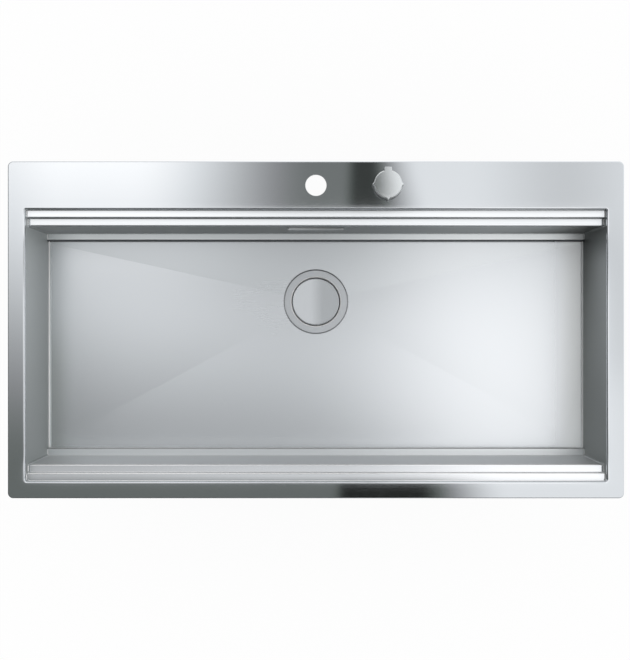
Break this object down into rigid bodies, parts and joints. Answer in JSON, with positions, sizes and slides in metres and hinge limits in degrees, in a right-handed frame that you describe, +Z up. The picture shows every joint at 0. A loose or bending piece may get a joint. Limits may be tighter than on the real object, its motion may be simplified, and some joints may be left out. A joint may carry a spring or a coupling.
{
  "type": "inset kitchen sink",
  "caption": "Inset stainless kitchen sink: a wide stepped bowl, a tap deck with a control knob, a lift-up strainer waste, an overflow and fold-out rim clamps.",
  "frame": {"origin": "centre of the rim in the plane of the worktop's surface", "axes": "+X to the right along the rim, +Y to the rear where the tap stands, +Z up"},
  "size_m": [1.024, 0.56, 0.402],
  "materials": {
    "satin_steel": "brushed satin",
    "fitting_steel": "fine satin",
    "bracket_steel": "mill finish",
    "zinc_steel": "zinc plated",
    "black_rubber": "matt",
    "pad_rubber": "matt",
    "white_plastic": "satin",
    "black_plastic": "satin"
  },
  "bodies": {
    "sink": {"deck": "satin_steel", "bowl_trough": "satin_steel", "bowl_end_left": "satin_steel", "bowl_end_right": "satin_steel", "tap_stiffener": "bracket_steel", "clamp_brackets": "bracket_steel", "waste_flange": "fitting_steel", "flange_screws": "satin_steel", "overflow_cover": "fitting_steel", "overflow_screws": "satin_steel", "knob_base": "fitting_steel", "rim_gasket": "black_rubber", "sound_pads": "pad_rubber", "flange_seal": "black_rubber", "waste_gasket": "black_rubber", "outlet_seal": "black_rubber", "lever_socket": "black_rubber", "overflow_gasket": "black_rubber", "overflow_seals": "black_rubber", "knob_washer": "black_rubber", "waste_body": "white_plastic", "outlet_nut": "white_plastic", "outlet_tailpiece": "white_plastic", "lever_nut": "white_plastic", "overflow_housing": "white_plastic", "overflow_pipe": "white_plastic", "overflow_nuts": "white_plastic", "knob_nut": "white_plastic", "waste_cable_gland": "black_plastic", "drum_casing": "black_plastic", "knob_cable_gland": "black_plastic"},
    "knob": {"control_knob": "fitting_steel", "knob_spindle": "satin_steel", "cable_drum": "black_plastic"},
    "lever": {"lift_lever": "satin_steel"},
    "pin": {"lift_pin": "satin_steel"},
    "strainer": {"strainer_cap": "fitting_steel", "strainer_basket": "satin_steel", "strainer_stem": "satin_steel", "strainer_seal": "black_rubber"},
    "clamp_1": {"clamp_screw_1": "zinc_steel"},
    "jaw_1": {"clamp_jaw_1": "zinc_steel"},
    "clamp_2": {"clamp_screw_2": "zinc_steel"},
    "jaw_2": {"clamp_jaw_2": "zinc_steel"},
    "clamp_3": {"clamp_screw_3": "zinc_steel"},
    "jaw_3": {"clamp_jaw_3": "zinc_steel"},
    "clamp_4": {"clamp_screw_4": "zinc_steel"},
    "jaw_4": {"clamp_jaw_4": "zinc_steel"},
    "clamp_5": {"clamp_screw_5": "zinc_steel"},
    "jaw_5": {"clamp_jaw_5": "zinc_steel"},
    "clamp_6": {"clamp_screw_6": "zinc_steel"},
    "jaw_6": {"clamp_jaw_6": "zinc_steel"},
    "clamp_7": {"clamp_screw_7": "zinc_steel"},
    "jaw_7": {"clamp_jaw_7": "zinc_steel"}
  },
  "joints": [
    {"name": "knob_turn", "type": "hinge", "parent": "sink", "child": "knob", "pos_m": [0.119, 0.24, 0.004], "axis": [0, 0, -1], "range_deg": [0, 90]},
    {"name": "lever_tilt", "type": "hinge", "parent": "sink", "child": "lever", "pos_m": [0.045, 0.051, -0.2613], "axis": [0, 1, 0], "range_deg": [0, 10.24]},
    {"name": "pin_lift", "type": "slide", "parent": "sink", "child": "pin", "axis": [0, 0, 1], "range_m": [0, 0.008]},
    {"name": "strainer_lift_out", "type": "slide", "parent": "pin", "child": "strainer", "axis": [0, 0, 1], "range_m": [0, 0.27]},
    {"name": "clamp_1_swing", "type": "hinge", "parent": "sink", "child": "clamp_1", "pos_m": [-0.38, -0.263, -0.05], "axis": [0, 0, -1], "range_deg": [0, 90]},
    {"name": "jaw_1_climb", "type": "slide", "parent": "clamp_1", "child": "jaw_1", "axis": [0, 0, 1], "range_m": [0, 0.02]},
    {"name": "clamp_2_swing", "type": "hinge", "parent": "sink", "child": "clamp_2", "pos_m": [0, -0.263, -0.05], "axis": [0, 0, -1], "range_deg": [0, 90]},
    {"name": "jaw_2_climb", "type": "slide", "parent": "clamp_2", "child": "jaw_2", "axis": [0, 0, 1], "range_m": [0, 0.02]},
    {"name": "clamp_3_swing", "type": "hinge", "parent": "sink", "child": "clamp_3", "pos_m": [0.38, -0.263, -0.05], "axis": [0, 0, -1], "range_deg": [0, 90]},
    {"name": "jaw_3_climb", "type": "slide", "parent": "clamp_3", "child": "jaw_3", "axis": [0, 0, 1], "range_m": [0, 0.02]},
    {"name": "clamp_4_swing", "type": "hinge", "parent": "sink", "child": "clamp_4", "pos_m": [-0.285, 0.263, -0.05], "axis": [0, 0, -1], "range_deg": [0, 90]},
    {"name": "jaw_4_climb", "type": "slide", "parent": "clamp_4", "child": "jaw_4", "axis": [0, 0, 1], "range_m": [0, 0.02]},
    {"name": "clamp_5_swing", "type": "hinge", "parent": "sink", "child": "clamp_5", "pos_m": [0.285, 0.263, -0.05], "axis": [0, 0, -1], "range_deg": [0, 90]},
    {"name": "jaw_5_climb", "type": "slide", "parent": "clamp_5", "child": "jaw_5", "axis": [0, 0, 1], "range_m": [0, 0.02]},
    {"name": "clamp_6_swing", "type": "hinge", "parent": "sink", "child": "clamp_6", "pos_m": [-0.495, -0.026, -0.05], "axis": [0, 0, -1], "range_deg": [0, 90]},
    {"name": "jaw_6_climb", "type": "slide", "parent": "clamp_6", "child": "jaw_6", "axis": [0, 0, 1], "range_m": [0, 0.02]},
    {"name": "clamp_7_swing", "type": "hinge", "parent": "sink", "child": "clamp_7", "pos_m": [0.495, -0.026, -0.05], "axis": [0, 0, -1], "range_deg": [0, 90]},
    {"name": "jaw_7_climb", "type": "slide", "parent": "clamp_7", "child": "jaw_7", "axis": [0, 0, 1], "range_m": [0, 0.02]}
  ],
  "couplings": [
    {"joint": "lever_tilt", "follows": "knob_turn", "ratio": 0.11377},
    {"joint": "pin_lift", "follows": "knob_turn", "m_per_rad": 0.0050925}
  ]
}
